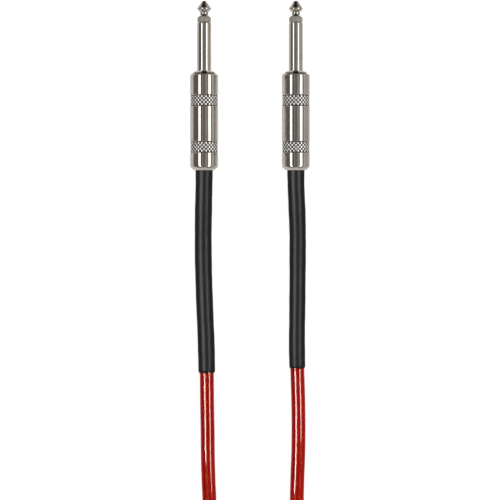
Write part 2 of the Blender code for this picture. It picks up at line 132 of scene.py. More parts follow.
# Coarser than the photo's knurl, because one that fine vanishes in a small picture
KNURL_TEETH = 22
KNURL_PITCH = 0.00175
KNURL_HEIGHT = 0.00030
KNURL_FLAT = 0.62
KNURL_RECESS = 0.00020
KNURL_TOP = BARREL_RADIUS - KNURL_RECESS
# Where a band's first row is, and how far in its pyramids reach their full height
KNURL_START = 0.0003
KNURL_RISE = 0.0006
# The turned step at each end of a knurled band: (distance into the band, radius)
KNURL_STEP = (
    (0.0, BARREL_RADIUS),
    (0.00012, BARREL_RADIUS - FINE_EDGE),
    (EDGE, KNURL_TOP - KNURL_HEIGHT),
)

CABLE_RADIUS = 0.003175
CABLE_DIAMETER = 2 * CABLE_RADIUS
JACKET_STATION = 0.0560
SLEEVE_RADIUS = 0.00385
SLEEVE_WALL = 0.00035
SLEEVE_STATION = 0.0700
SLEEVE_END_Y = {"left": -0.0838, "right": -0.0817}
SLEEVE_STEP = 0.0008
# How a sleeve's cut end turns in, and how its bore narrows there
SLEEVE_LIP_LENGTH = 0.0006
SLEEVE_LIP_DEPTH = 0.00028
SLEEVE_MOUTH_LENGTH = 0.004
SLEEVE_MOUTH_PINCH = 0.00022
# Unevenness along a sleeve: (height, radians a metre, phase)
SLEEVE_RIPPLES = ((0.00003, 310.0, 0.0), (0.00002, 790.0, 1.3))
# How much slimmer each sleeve gets towards its cut end
LEFT_TAPER = 0.00005
RIGHT_TAPER = 0.00022
RIGHT_TAPER_LENGTH = 0.075

FOLD_RADIUS = 3 * CABLE_DIAMETER
WAIST_HALF = 0.0033
HANK_HALF_RUN = 0.0539
HANK_CENTRE = (-0.0006, -0.2475)
TIE_WIDTH = 0.020
TIE_THICKNESS = 0.0012
TIE_SLACK = 0.0006
TIE_OVERLAP = 0.026
TIE_STEP = 0.0006
TIE_LIFT_REACH = 0.016

# How finely the turned pieces, the tubes and their threads and knurls are divided
BARREL_SIDES = 16 * KNURL_TEETH
BODY_SIDES = 128
TIP_SIDES = 96
SLEEVE_SIDES = 72
CABLE_SIDES = 28
ROWS_PER_PITCH = 8
SPAN_SAMPLES = 40
HANK_STEP = 0.0025

# Route of each free cable end from its plug to the hank: points on its centreline.
LEFT_X = -PLUG_SPACING / 2
RIGHT_X = PLUG_SPACING / 2
ROUTES = {
    "left": (
        (LEFT_X, 0.0278, 0.00635),
        (LEFT_X, 0.0180, 0.00635),
        (LEFT_X, 0.0080, 0.00635),
        (LEFT_X - 0.00005, 0.0010, 0.00632),
        (-0.02090, -0.0080, 0.0059),
        (-0.02108, -0.0200, 0.0050),
        (-0.02105, -0.0320, 0.0042),
        (-0.02075, -0.0445, 0.0039),
        (-0.02030, -0.0570, 0.00385),
        (-0.01978, -0.0700, 0.00385),
        (-0.01948, -0.0850, 0.00385),
        (-0.01935, -0.0980, 0.00372),
        (-0.01912, -0.1100, 0.00355),
        (-0.01900, -0.1220, 0.0034),
        (-0.01868, -0.1330, 0.00328),
        (-0.01832, -0.1420, 0.0032),
        (-0.01850, -0.1540, 0.0032),
        (-0.01930, -0.1680, 0.0032),
        (-0.01965, -0.1810, 0.0032),
        (-0.01965, -0.1936, 0.0032),
    ),
    "right": (
        (RIGHT_X, 0.0278, 0.00635),
        (RIGHT_X, 0.0180, 0.00635),
        (RIGHT_X, 0.0080, 0.00635),
        (RIGHT_X + 0.00007, 0.0010, 0.00632),
        (0.02108, -0.0080, 0.0059),
        (0.02148, -0.0200, 0.0050),
        (0.02150, -0.0320, 0.0042),
        (0.02143, -0.0445, 0.0039),
        (0.02132, -0.0570, 0.00385),
        (0.02118, -0.0700, 0.00385),
        (0.02138, -0.0830, 0.00385),
        (0.02176, -0.0960, 0.00373),
        (0.02192, -0.1080, 0.00356),
        (0.02178, -0.1200, 0.0034),
        (0.02140, -0.1310, 0.00328),
        (0.02120, -0.1420, 0.0032),
        (0.02200, -0.1540, 0.0032),
        (0.02380, -0.1680, 0.0032),
        (0.02475, -0.1810, 0.0032),
        (0.02480, -0.1936, 0.0032),
    ),
}


# ---------------------------------------------------------------- the cable's route
def spaced(points, step):
    """The same line with its points evenly spaced, about one step apart."""
    along = np.concatenate([[0.0], np.cumsum(np.linalg.norm(np.diff(points, axis=0), axis=1))])
    at = np.linspace(0.0, along[-1], max(2, round(along[-1] / step) + 1))
    return np.stack([np.interp(at, along, points[:, k]) for k in range(3)], axis=1)


def smooth_route(points, step):
    """Points about one step apart on a smooth curve through the route's own points."""
    route = np.array(points)
    spans = np.sqrt(np.linalg.norm(np.diff(route, axis=0), axis=1))
    knots = np.concatenate([[0.0], np.cumsum(spans)])
    slopes = np.gradient(route, knots, axis=0)
    fine = []
    for i, span in enumerate(spans):
        for u in np.linspace(0.0, 1.0, SPAN_SAMPLES, endpoint=False):
            start = (1 + 2 * u) * (1 - u) ** 2 * route[i] + u * (1 - u) ** 2 * span * slopes[i]
            end = u * u * (3 - 2 * u) * route[i + 1] + u * u * (u - 1) * span * slopes[i + 1]
            fine.append(start + end)
    return spaced(np.array(fine + [route[-1]]), step)


def between(route, high_y, low_y):
    """The stretch of a densely read route between two places along Y."""
    inside = route[(route[:, 1] < high_y) & (route[:, 1] > low_y)]
    ends = [[np.interp(-y, -route[:, 1], route[:, k]) for k in range(3)] for y in (high_y, low_y)]
    return np.vstack([ends[0], inside, ends[1]])


def smoothstep(x):
    x = np.clip(x, 0.0, 1.0)
    return x * x * (3 - 2 * x)


# One lap of the hank on its inner column, down the left side and up the right: two folds and
# a pinched waist, as arcs of (centre x, centre y, radius, start angle, end angle, side), where
# side is 1 if the outer column lies on the arc's outside.
WAIST_RADIUS = (HANK_HALF_RUN**2 - FOLD_RADIUS**2 + WAIST_HALF**2) / (
    2 * (FOLD_RADIUS - WAIST_HALF)
)
WAIST_X = WAIST_RADIUS + WAIST_HALF
LEAN = math.atan2(HANK_HALF_RUN, WAIST_X)
LAP = (
    (0.0, HANK_HALF_RUN, FOLD_RADIUS, math.pi, math.pi + LEAN, 1),
    (-WAIST_X, 0.0, WAIST_RADIUS, LEAN, -LEAN, -1),
    (0.0, -HANK_HALF_RUN, FOLD_RADIUS, math.pi - LEAN, 2 * math.pi + LEAN, 1),
    (WAIST_X, 0.0, WAIST_RADIUS, math.pi + LEAN, math.pi - LEAN, -1),
    (0.0, HANK_HALF_RUN, FOLD_RADIUS, -LEAN, math.pi, 1),
)
LAP_LENGTH = sum(radius * abs(end - start) for _, _, radius, start, end, _ in LAP)
LAPS = 7
CROSSING_LAP = 3
COLUMN_MOVE = (LAP_LENGTH - 0.118, LAP_LENGTH - 0.036)
ROW_CLIMB = (LAP_LENGTH - 0.070, LAP_LENGTH - 0.0165)
ROW_DESCENT = 0.055


def hank_strand(lap, run):
    """Column (0 inner, 1 outer) and row of the strand after a run along its lap. The laps fill
    the inner column from the floor up, cross over on top, and fill the outer one downwards."""
    if lap < CROSSING_LAP:
        return 0.0, lap + smoothstep((run - ROW_CLIMB[0]) / (ROW_CLIMB[1] - ROW_CLIMB[0]))
    if lap == CROSSING_LAP:
        move = smoothstep((run - COLUMN_MOVE[0]) / (COLUMN_MOVE[1] - COLUMN_MOVE[0]))
        return move, float(CROSSING_LAP)
    return 1.0, LAPS - lap - smoothstep(run / ROW_DESCENT)


def hank_points(step):
    """The centreline through the hank, from its entry to its exit, both on the floor. The last
    lap stops short of its last fold. The tie lifts the strands a little at the waist."""
    x, y = HANK_CENTRE
    points = []
    for lap in range(LAPS):
        run = 0.0
        for cx, cy, radius, start, end, side in LAP:
            if lap == LAPS - 1 and end == math.pi:
                end = 0.0
            for angle in np.linspace(start, end, round(radius * abs(end - start) / step) + 1)[:-1]:
                column, row = hank_strand(lap, run + radius * abs(angle - start))
                reach = radius + side * column * CABLE_DIAMETER
                px = cx + reach * math.cos(angle)
                py = cy + reach * math.sin(angle)
                lift = (TIE_THICKNESS + GAP) * math.exp(-((py / TIE_LIFT_REACH) ** 4))
                points.append((x + px, y + py, CABLE_RADIUS + row * CABLE_DIAMETER + lift))
            run += radius * abs(end - start)
    return np.array(points)


def cable_route():
    """The whole cable's centreline, from the left plug to the right."""
    ends = []
    for side in ("left", "right"):
        line = smooth_route(ROUTES[side], CABLE_RADIUS / 2)
        ends.append(between(line, TIP_Y - JACKET_STATION, line[-1, 1]))
    return np.vstack([ends[0][:-1], hank_points(HANK_STEP), ends[1][::-1]])


ROUTE = cable_route()


# ---------------------------------------------------------------- node helpers
class Nodes:
    """A material's node tree, with short calls to add and join its nodes."""

    def __init__(self, name):
        self.material = bpy.data.materials.new(name)
        self.material.use_nodes = True
        self.tree = self.material.node_tree
        self.shader = self.tree.nodes["Principled BSDF"]

    def put(self, socket, value):
        if isinstance(value, bpy.types.NodeSocket):
            self.tree.links.new(value, socket)
        elif isinstance(value, tuple) and socket.type == "RGBA":
            socket.default_value = (*value, 1.0)
        else:
            socket.default_value = value

    def add(self, kind, values=None, **settings):
        node = self.tree.nodes.new(kind)
        for key, value in settings.items():
            setattr(node, key, value)
        for key, value in (values or {}).items():
            self.put(node.inputs[key], value)
        return node

    def math(self, operation, *values):
        node = self.add("ShaderNodeMath", operation=operation)
        for socket, value in zip(node.inputs, values):
            self.put(socket, value)
        return node.outputs[0]

    def mix(self, factor, low, high):
        """A colour between two."""
        node = self.add("ShaderNodeMix", {0: factor, 6: low, 7: high}, data_type="RGBA")
        return node.outputs[2]

    def range(self, value, from_low, from_high, low=0.0, high=1.0):
        values = {0: value, 1: from_low, 2: from_high, 3: low, 4: high}
        return self.add("ShaderNodeMapRange", values).outputs[0]

    def noise(self, vector, scale, detail=2.0, roughness=0.5):
        values = {"Vector": vector, "Scale": scale, "Detail": detail, "Roughness": roughness}
        return self.add("ShaderNodeTexNoise", values).outputs[0]

    def stretched(self, vector, scale):
        """The same coordinates, scaled along each axis."""
        values = {0: vector, 1: scale}
        return self.add("ShaderNodeVectorMath", values, operation="MULTIPLY").outputs[0]

    def position(self):
        return self.add("ShaderNodeTexCoord").outputs["Object"]

    def uv(self):
        """Turns round a piece, and metres along it."""
        where = self.add("ShaderNodeTexCoord").outputs["UV"]
        split = self.add("ShaderNodeSeparateXYZ", {0: where})
        return split.outputs[0], split.outputs[1]

    def wave(self, value):
        """A sine of a number of turns, from 0 to 1."""
        turned = self.math("SINE", self.math("MULTIPLY", value, 2 * math.pi))
        return self.range(turned, -1.0, 1.0)

    def band(self, y, station, half, fade):
        """1 at a plug's station, fading to 0 over the last stretch of half its width."""
        away = self.math("ABSOLUTE", self.math("SUBTRACT", y, TIP_Y - station))
        return self.range(away, half - fade, half, 1.0, 0.0)

    def bump(self, height, distance, strength=1.0):
        values = {"Height": height, "Distance": distance, "Strength": strength}
        self.put(self.shader.inputs["Normal"], self.add("ShaderNodeBump", values).outputs[0])

    def finish(self, **values):
        """Sets the shader's sockets, where base_color stands for Base Color."""
        for key, value in values.items():
            name = key.replace("_", " ").title().replace("Ior", "IOR")
            self.put(self.shader.inputs[name], value)
        return self.material


# ---------------------------------------------------------------- materials
# Dark colour painted as shade at seams, at the tip's gap and in knurl grooves
PAINTED_SHADE = (0.030, 0.027, 0.025)
# A knurl's lands are rougher than plain nickel and painted paler as a painted highlight, so that
# it shows from far above
KNURL_LAND_HIGHLIGHT = (0.97, 0.95, 0.93)


def nickel_plate(name, scratch_length, seams, knurled=False):
    """Bright nickel over turned brass: faint turning rings, fine scratches, warm patches, and
    painted shade at its seams, given as (station, half width), and in the grooves of a knurl,
    whose lands carry a painted highlight."""
    n = Nodes(name)
    place = n.position()
    patches = n.noise(place, 160.0, 3.0)
    rings = n.noise(n.stretched(place, (0.0, 9000.0, 0.0)), 1.0, 2.0)
    scratches = n.noise(n.stretched(place, (9000.0, 9000.0 / scratch_length, 9000.0)), 1.0, 3.0)
    smudges = n.noise(place, 420.0, 4.0, 0.6)
    colour = n.mix(n.range(patches, 0.35, 0.7), (0.53, 0.505, 0.475), (0.47, 0.445, 0.415))
    rough = n.math(
        "ADD", n.range(smudges, 0.35, 0.75, 0.06, 0.12), n.range(scratches, 0.62, 0.8, 0.0, 0.08)
    )
    metallic = 1.0
    x, y, z = n.add("ShaderNodeSeparateXYZ", {0: place}).outputs
    # Painted shade: a dark band at each seam
    for station, half in seams:
        colour = n.mix(n.band(y, station, half, 0.4 * half), colour, PAINTED_SHADE)
    if knurled:
        across = n.math("SUBTRACT", n.math("ABSOLUTE", x), PLUG_SPACING / 2)
        up = n.math("SUBTRACT", z, BARREL_RADIUS)
        squares = n.math("ADD", n.math("POWER", across, 2.0), n.math("POWER", up, 2.0))
        reach = n.math("SQRT", squares)
        half = KNURL_LENGTH / 2
        bands = [n.band(y, station + half, half, FINE_EDGE) for station in KNURL_STATIONS]
        knurl = n.math("ADD", *bands)
        # Painted shade: the knurl's grooves are painted dark, and made rough and dull
        groove_shade = n.range(reach, KNURL_TOP - 0.05 * KNURL_HEIGHT, KNURL_TOP - 0.3 * KNURL_HEIGHT)
        groove_shade = n.math("MULTIPLY", groove_shade, knurl)
        # Painted highlight: the knurl's lands are painted paler than plain nickel
        colour = n.mix(knurl, colour, KNURL_LAND_HIGHLIGHT)
        colour = n.mix(groove_shade, colour, PAINTED_SHADE)
        rough = n.math("ADD", rough, n.math("MULTIPLY", knurl, 0.22))
        rough = n.math("ADD", rough, n.math("MULTIPLY", groove_shade, 0.4))
        metallic = n.math("SUBTRACT", 1.0, groove_shade)
    n.bump(n.math("ADD", n.math("MULTIPLY", rings, 0.6), scratches), 0.000004, 0.05)
    return n.finish(base_color=colour, metallic=metallic, roughness=rough)


def tinned_brass(name):
    """Dull tin plate with a faint grain and yellow where it has worn through."""
    n = Nodes(name)
    place = n.position()
    worn = n.range(n.noise(place, 900.0, 4.0), 0.55, 0.68)
    grain = n.noise(n.stretched(place, (9000.0, 1200.0, 9000.0)), 1.0, 3.0)
    n.bump(grain, 0.00001, 0.3)
    return n.finish(
        base_color=n.mix(worn, (0.70, 0.68, 0.63), (0.66, 0.50, 0.26)),
        metallic=1.0,
        roughness=n.range(grain, 0.3, 0.7, 0.28, 0.46),
    )


def moulded_insulator(name):
    """Matt olive-grey moulded plastic with a fine grain, and a band of painted shade at its front
    edge by the tip's gap.
    """
    n = Nodes(name)
    place = n.position()
    speckle = n.noise(place, 5200.0, 3.0)
    cloud = n.noise(place, 500.0, 2.0)
    tone = n.range(n.math("ADD", speckle, cloud), 0.7, 1.3)
    colour = n.mix(tone, (0.26, 0.24, 0.205), (0.36, 0.33, 0.285))
    y = n.add("ShaderNodeSeparateXYZ", {0: place}).outputs[1]
    n.bump(speckle, 0.00002, 0.35)
    return n.finish(
        # Painted shade: the front edge by the tip's gap is painted dark
        base_color=n.mix(n.band(y, RING_STATION, 0.0004, 0.00016), colour, PAINTED_SHADE),
        roughness=n.range(speckle, 0.3, 0.7, 0.28, 0.42),
    )


def fibre_board(name):
    """Red-brown vulcanised fibre, with short pale fibres in it."""
    n = Nodes(name)
    place = n.position()
    fibres = n.noise(n.stretched(place, (6000.0, 900.0, 2600.0)), 1.0, 4.0, 0.7)
    n.bump(fibres, 0.00003, 0.5)
    return n.finish(
        base_color=n.mix(n.range(fibres, 0.4, 0.66), (0.22, 0.075, 0.04), (0.42, 0.20, 0.12)),
        roughness=n.range(fibres, 0.3, 0.7, 0.7, 0.9),
    )


def liner_film(name):
    """Milky insulating film with soft streaks along it."""
    n = Nodes(name)
    streaks = n.noise(n.stretched(n.position(), (1600.0, 120.0, 1600.0)), 1.0, 3.0)
    n.bump(streaks, 0.00002, 0.3)
    return n.finish(
        base_color=n.mix(n.range(streaks, 0.3, 0.7), (0.74, 0.72, 0.64), (0.88, 0.87, 0.81)),
        roughness=n.range(streaks, 0.3, 0.7, 0.22, 0.40),
        transmission_weight=0.15,
    )


def shrink_black(name):
    """Heat-shrunk black sleeve: matt, faintly drawn along its length, a little dusty."""
    n = Nodes(name)
    turns, metres = n.uv()
    along = n.add("ShaderNodeCombineXYZ", {0: turns, 1: metres}).outputs[0]
    drawn = n.noise(n.stretched(along, (60.0, 90.0, 1.0)), 1.0, 3.0, 0.6)
    grain = n.noise(n.position(), 4200.0, 3.0, 0.6)
    dust = n.noise(n.position(), 700.0, 4.0, 0.65)
    colour = n.mix(n.range(drawn, 0.3, 0.75), (0.010, 0.010, 0.0105), (0.018, 0.018, 0.019))
    colour = n.mix(n.range(dust, 0.62, 0.86, 0.0, 0.3), colour, (0.060, 0.058, 0.056))
    n.bump(n.math("ADD", n.math("MULTIPLY", drawn, 2.0), grain), 0.00003, 0.4)
    return n.finish(
        base_color=colour,
        roughness=n.range(grain, 0.3, 0.7, 0.36, 0.48),
        specular_ior_level=0.03,
    )


def red_jacket(name):
    """Clear red plastic, glossy, over a copper shield whose strands are wound round it in a
    long helix and show through as darker and brighter red ropes."""
    n = Nodes(name)
    turns, metres = n.uv()
    place = n.position()
    wander = n.math("MULTIPLY", n.noise(place, 45.0, 2.0), 0.12)
    helix = n.math("ADD", n.math("ADD", turns, wander), n.math("MULTIPLY", metres, 1 / 0.038))
    ropes = n.wave(n.math("MULTIPLY", helix, 14.0))
    strands = n.wave(n.math("MULTIPLY", helix, 70.0))
    mottle = n.noise(place, 520.0, 4.0, 0.6)
    # Copper showing through the red, with painted glints: orange patches mixed into the base
    # colour
    copper_and_glint = n.noise(place, 130.0, 3.0, 0.6)
    shade = n.math("ADD", n.math("MULTIPLY", ropes, 0.35), n.math("MULTIPLY", strands, 0.12))
    shade = n.math("ADD", shade, n.math("MULTIPLY", mottle, 0.5))
    colour = n.mix(n.range(shade, 0.25, 0.8), (0.16, 0.0003, 0.0003), (0.66, 0.003, 0.0025))
    colour = n.mix(n.range(copper_and_glint, 0.55, 0.80, 0.0, 0.30), colour, (0.52, 0.070, 0.010))
    n.bump(n.math("ADD", ropes, n.math("MULTIPLY", strands, 0.3)), 0.00005, 0.7)
    return n.finish(
        base_color=colour,
        roughness=n.range(mottle, 0.3, 0.7, 0.12, 0.20),
        specular_ior_level=0.03,
        specular_tint=(1.0, 0.55, 0.2),
        coat_weight=0.35,
        coat_roughness=0.03,
        coat_ior=1.3,
    )


def polythene(name):
    """Waxy white core insulation."""
    n = Nodes(name)
    cloud = n.noise(n.position(), 900.0, 3.0)
    n.bump(cloud, 0.00003, 0.3)
    return n.finish(
        base_color=n.mix(n.range(cloud, 0.3, 0.7), (0.78, 0.77, 0.71), (0.90, 0.89, 0.85)),
        roughness=n.range(cloud, 0.3, 0.7, 0.34, 0.5),
        subsurface_weight=0.2,
        subsurface_radius=(0.001, 0.001, 0.001),
    )


def copper_strands(name):
    """Bare copper strands twisted together, tarnished in places."""
    n = Nodes(name)
    place = n.position()
    x, y, _ = n.add("ShaderNodeSeparateXYZ", {0: place}).outputs
    twist = n.math("ADD", n.math("MULTIPLY", y, 700.0), n.math("MULTIPLY", x, 2200.0))
    strands = n.wave(twist)
    tarnish = n.range(n.noise(place, 1100.0, 3.0), 0.45, 0.7)
    n.bump(strands, 0.00008, 0.8)
    return n.finish(
        base_color=n.mix(tarnish, (0.80, 0.42, 0.25), (0.42, 0.19, 0.11)),
        metallic=1.0,
        roughness=n.range(strands, 0.0, 1.0, 0.42, 0.26),
    )


def hook_tape(name):
    """Black hook-and-loop tape: a woven ground under a matted nap of loops."""
    n = Nodes(name)
    turns, metres = n.uv()
    warp = n.wave(n.math("MULTIPLY", turns, 24.0))
    weft = n.wave(n.math("MULTIPLY", metres, 1300.0))
    weave = n.math("MULTIPLY", warp, weft)
    nap = n.noise(n.position(), 2300.0, 5.0, 0.75)
    worn = n.noise(n.position(), 260.0, 3.0)
    height = n.math("ADD", n.math("MULTIPLY", weave, 0.5), nap)
    n.bump(height, 0.0002, 0.9)
    colour = n.mix(n.range(height, 0.35, 1.1), (0.008, 0.008, 0.009), (0.050, 0.050, 0.053))
    colour = n.mix(n.range(worn, 0.55, 0.8, 0.0, 0.5), colour, (0.085, 0.083, 0.082))
    return n.finish(
        base_color=colour,
        roughness=n.range(nap, 0.3, 0.7, 0.82, 1.0),
        sheen_weight=0.35,
        sheen_roughness=0.5,
    )


def pale_floor(name):
    """White paper with hardly any grain, glowing faintly."""
    n = Nodes(name)
    paper = n.noise(n.position(), 60.0, 3.0)
    return n.finish(
        base_color=n.mix(paper, (0.90, 0.90, 0.90), (0.92, 0.92, 0.92)),
        roughness=0.85,
        specular_ior_level=0.0,
        emission_color=(1.0, 1.0, 1.0),
        emission_strength=0.6,
    )


# The dark bands at the seams listed below are painted shade in the gaps between pieces
NICKEL = nickel_plate("nickel_plate_barrel", 6.0, ((BARREL_STATION, 0.00025),), knurled=True)
FINGER_NICKEL = nickel_plate(
    "nickel_plate_finger",
    30.0,
    ((RING_STATION - GAP, 0.00035), (FINGER_LENGTH + SHOULDER_LENGTH, 0.00030)),
)
TINNED = tinned_brass("tinned_brass")
INSULATOR = moulded_insulator("grey_insulator")
FIBRE = fibre_board("fibre_board")
LINER = liner_film("liner_film")
SHRINK = shrink_black("shrink_sleeve_black")
JACKET = red_jacket("red_jacket")
POLYTHENE = polythene("core_polythene")
COPPER = copper_strands("shield_copper")
HOOK_TAPE = hook_tape("hook_and_loop_tape")
FLOOR = pale_floor("pale_floor")


# ---------------------------------------------------------------- camera, floor and light
CAMERA_HEIGHT = 1.40
AIM = (0.0, -0.0284, BARREL_RADIUS)
VIEW_WIDTH = 0.2252
SENSOR_WIDTH = 36.0
FLOOR_HALF_WIDTH = 3.0
FLOOR_DROP = 0.00005


def make_camera():
    """Straight overhead."""
    data = bpy.data.cameras.new("camera")
    camera = bpy.data.objects.new("camera", data)
    bpy.context.scene.collection.objects.link(camera)
    camera.location = (AIM[0], AIM[1], CAMERA_HEIGHT)
    data.sensor_width = SENSOR_WIDTH
    data.lens = SENSOR_WIDTH * (CAMERA_HEIGHT - AIM[2]) / VIEW_WIDTH
    data.clip_start = 0.01
    bpy.context.scene.camera = camera


def make_floor():
    """A wide sheet a hair below the cable, which the metal doesn't mirror."""
    bm = bmesh.new()
    bmesh.ops.create_grid(bm, x_segments=24, y_segments=24, size=FLOOR_HALF_WIDTH)
    mesh = bpy.data.meshes.new("floor")
    bm.to_mesh(mesh)
    bm.free()
    floor = bpy.data.objects.new("floor", mesh)
    bpy.context.scene.collection.objects.link(floor)
    floor.location.z = -FLOOR_DROP
    mesh.materials.append(FLOOR)
    floor.visible_glossy = False


# Pieces that each kind of strip light shines on
LIT = {kind: bpy.data.collections.new(f"lit_{kind}") for kind in ("metal", "plastic")}


def softbox(name, location, target, length, width, radiance, shines_on=None):
    """A rectangular light, its length along Y. One that shines on a kind of piece only makes
    highlights there, and the other kind only fills."""
    data = bpy.data.lights.new(name, "AREA")
    data.shape = "RECTANGLE"
    data.size = length
    data.size_y = width
    data.energy = radiance * math.pi * width * length
    light = bpy.data.objects.new(name, data)
    bpy.context.scene.collection.objects.link(light)
    light.location = location
    line = Vector(target) - light.location
    light.rotation_euler = line.to_track_quat("-Z", "Y").to_euler()
    light.visible_camera = False
    light.visible_glossy = shines_on is not None
    light.visible_diffuse = shines_on is None
    if shines_on:
        light.light_linking.receiver_collection = LIT[shines_on]


# A plain studio in grey steps: pale walls either side, a dark card leaning in from each, and a
# soft ceiling with the camera's dark place in its middle. (degrees to the right of straight up,
# brightness)
ROOM = (
    (-105, 0.90),
    (-92, 0.18),
    (-50, 0.18),
    (-25, 0.04),
    (-12, 0.40),
    (1, 0.14),
    (17, 0.48),
    (58, 0.07),
    (70, 0.68),
    (105, 0.50),
    (140, 0.90),
)
ROOM_TINT = (1.0, 0.94, 0.88)
# Where the room dims and its end walls begin, as the Y of a direction of unit length, and the
# horizon, as its Z
FRONT_DIM = (0.80, 0.97)
REAR_DIM = (-0.79, -0.83)
FRONT_WALL = (0.988, 0.996)
REAR_WALL = (-0.955, -0.98)
DIMMED_TO = 0.06
HORIZON = (-0.03, 0.03)
END_WALL = 0.92
BACKDROP = 0.92


def make_room():
    """A studio round the object, dim above towards its two ends, with a pale wall low down at
    each. The camera itself sees a pale backdrop."""
    world = bpy.data.worlds.new("room")
    bpy.context.scene.world = world
    world.use_nodes = True
    tree = world.node_tree

    def add(kind, *links, **settings):
        node = tree.nodes.new(kind)
        for key, value in settings.items():
            setattr(node, key, value)
        for i, link in enumerate(links):
            if isinstance(link, bpy.types.NodeSocket):
                tree.links.new(link, node.inputs[i])
            else:
                node.inputs[i].default_value = link
        return node

    def rise(value, start, end):
        """0 up to where it starts, and 1 from its end on."""
        return add("ShaderNodeMapRange", value, start, end).outputs[0]

    def combine(operation, a, b):
        return add("ShaderNodeMath", a, b, operation=operation).outputs[0]

    def warm(brightness):
        return (*(brightness * tint for tint in ROOM_TINT), 1.0)

    x, y, z = add("ShaderNodeSeparateXYZ", add("ShaderNodeTexCoord").outputs["Generated"]).outputs
    across = rise(combine("ARCTAN2", x, z), -math.pi, math.pi)
    ramp = add("ShaderNodeValToRGB", across)
    stops = ramp.color_ramp.elements
    for degrees, _ in ROOM[1:-1]:
        stops.new(0.5 + degrees / 360)
    for stop, (degrees, brightness) in zip(stops, ROOM, strict=True):
        stop.position = 0.5 + degrees / 360
        stop.color = warm(brightness)
    ends = combine("ADD", rise(y, *FRONT_DIM), rise(y, *REAR_DIM))
    at_ends = combine("MULTIPLY", ends, rise(z, *HORIZON))
    dimming = add("ShaderNodeMapRange", at_ends, 0.0, 1.0, 1.0, DIMMED_TO).outputs[0]
    dimmed = add("ShaderNodeVectorMath", ramp.outputs[0], operation="SCALE")
    tree.links.new(dimming, dimmed.inputs["Scale"])
    walls = combine("ADD", rise(y, *FRONT_WALL), rise(y, *REAR_WALL))
    walled = add("ShaderNodeMix", walls, data_type="RGBA")
    tree.links.new(dimmed.outputs[0], walled.inputs[6])
    walled.inputs[7].default_value = warm(END_WALL)
    seen = add("ShaderNodeLightPath").outputs["Is Camera Ray"]
    choose = add("ShaderNodeMix", seen, data_type="RGBA")
    tree.links.new(walled.outputs[2], choose.inputs[6])
    choose.inputs[7].default_value = (BACKDROP, BACKDROP, BACKDROP, 1.0)
    tree.links.new(choose.outputs[2], tree.nodes["Background"].inputs[0])


LIGHT_REACH = 0.72
FILL_Y = -0.05
FILL_HEIGHT = 1.1
FILL_SIZE = 2.2
STRIPS = (
    # name, pieces it shines on, degrees from straight up, degrees wide, ends in Y, radiance
    ("left_metal_strip", "metal", -38, 17, (-0.92, 0.55), 3.0),
    ("right_metal_strip", "metal", 44.5, 19, (-0.92, 0.55), 3.0),
    ("left_plastic_strip", "plastic", -38, 20, (-0.196, 0.208), 120.0),
    ("right_plastic_strip", "plastic", 42, 16, (-0.180, 0.208), 84.0),
)


def make_lights():
    """Long strips either side, each for one kind of piece, and a wide fill overhead."""
    for name, shines_on, tilt_deg, spread_deg, ends, radiance in STRIPS:
        tilt = math.radians(tilt_deg)
        middle = sum(ends) / 2
        length = ends[1] - ends[0]
        width = 2 * LIGHT_REACH * math.tan(math.radians(spread_deg / 2))
        place = (LIGHT_REACH * math.sin(tilt), middle, LIGHT_REACH * math.cos(tilt))
        softbox(name, place, (0.0, middle, 0.0), length, width, radiance, shines_on)
    softbox("fill", (0.0, FILL_Y, FILL_HEIGHT), (0.0, FILL_Y, 0.0), FILL_SIZE, FILL_SIZE, 1.0)


make_camera()
make_floor()
make_room()
bpy.context.scene.view_settings.view_transform = "Standard"
make_lights()


# ---------------------------------------------------------------- meshes
def add_piece(name, bm, material, body):
    """Makes a piece of a mesh, with its material, on the CAD body that it moves with."""
    bmesh.ops.recalc_face_normals(bm, faces=bm.faces)
    mesh = bpy.data.meshes.new(name)
    bm.to_mesh(mesh)
    bm.free()
    mesh.shade_smooth()
    mesh.set_sharp_from_angle(angle=math.radians(35))
    ob = bpy.data.objects.new(name, mesh)
    bpy.context.scene.collection.objects.link(ob)
    mesh.materials.append(material)
    LIT["plastic" if material in (SHRINK, JACKET) else "metal"].objects.link(ob)
    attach(ob, body)
    return ob


def skin(bm, rows, heights, ring=False):
    """Quads between rows of points. UVs are turns round a row, and metres along the rows. A
    ring's last row joins its first."""
    uv = bm.loops.layers.uv.new("UVMap")
    verts = [[bm.verts.new(p) for p in row] for row in rows]
    count = len(rows[0])
    pairs = list(zip(range(len(rows) - 1), range(1, len(rows))))
    if ring:
        pairs.append((len(rows) - 1, 0))
    for i, j in pairs:
        for k in range(count):
            n = (k + 1) % count
            face = bm.faces.new((verts[i][k], verts[j][k], verts[j][n], verts[i][n]))
            corners = ((k, i), (k, j), (k + 1, j), (k + 1, i))
            for loop, (around, row) in zip(face.loops, corners):
                loop[uv].uv = (around / count, heights[row])
    if not ring:
        bm.faces.new(verts[0])
        bm.faces.new(verts[-1][::-1])


def travelled(points):
    """Distance along a line of points up to each of them."""
    steps = np.linalg.norm(np.diff(np.array(points), axis=0), axis=1)
    return np.concatenate([[0.0], np.cumsum(steps)])


def frames_along(points):
    """Two unit vectors across a line at each of its points, without twist."""
    tangents = np.gradient(points, axis=0)
    tangents /= np.linalg.norm(tangents, axis=1)[:, None]
    across = np.cross(tangents[0], (0.0, 0.0, 1.0))
    sideways = []
    for tangent in tangents:
        across = across - tangent * (across @ tangent)
        across = across / np.linalg.norm(across)
        sideways.append(across)
    sideways = np.array(sideways)
    return sideways, np.cross(sideways, tangents)


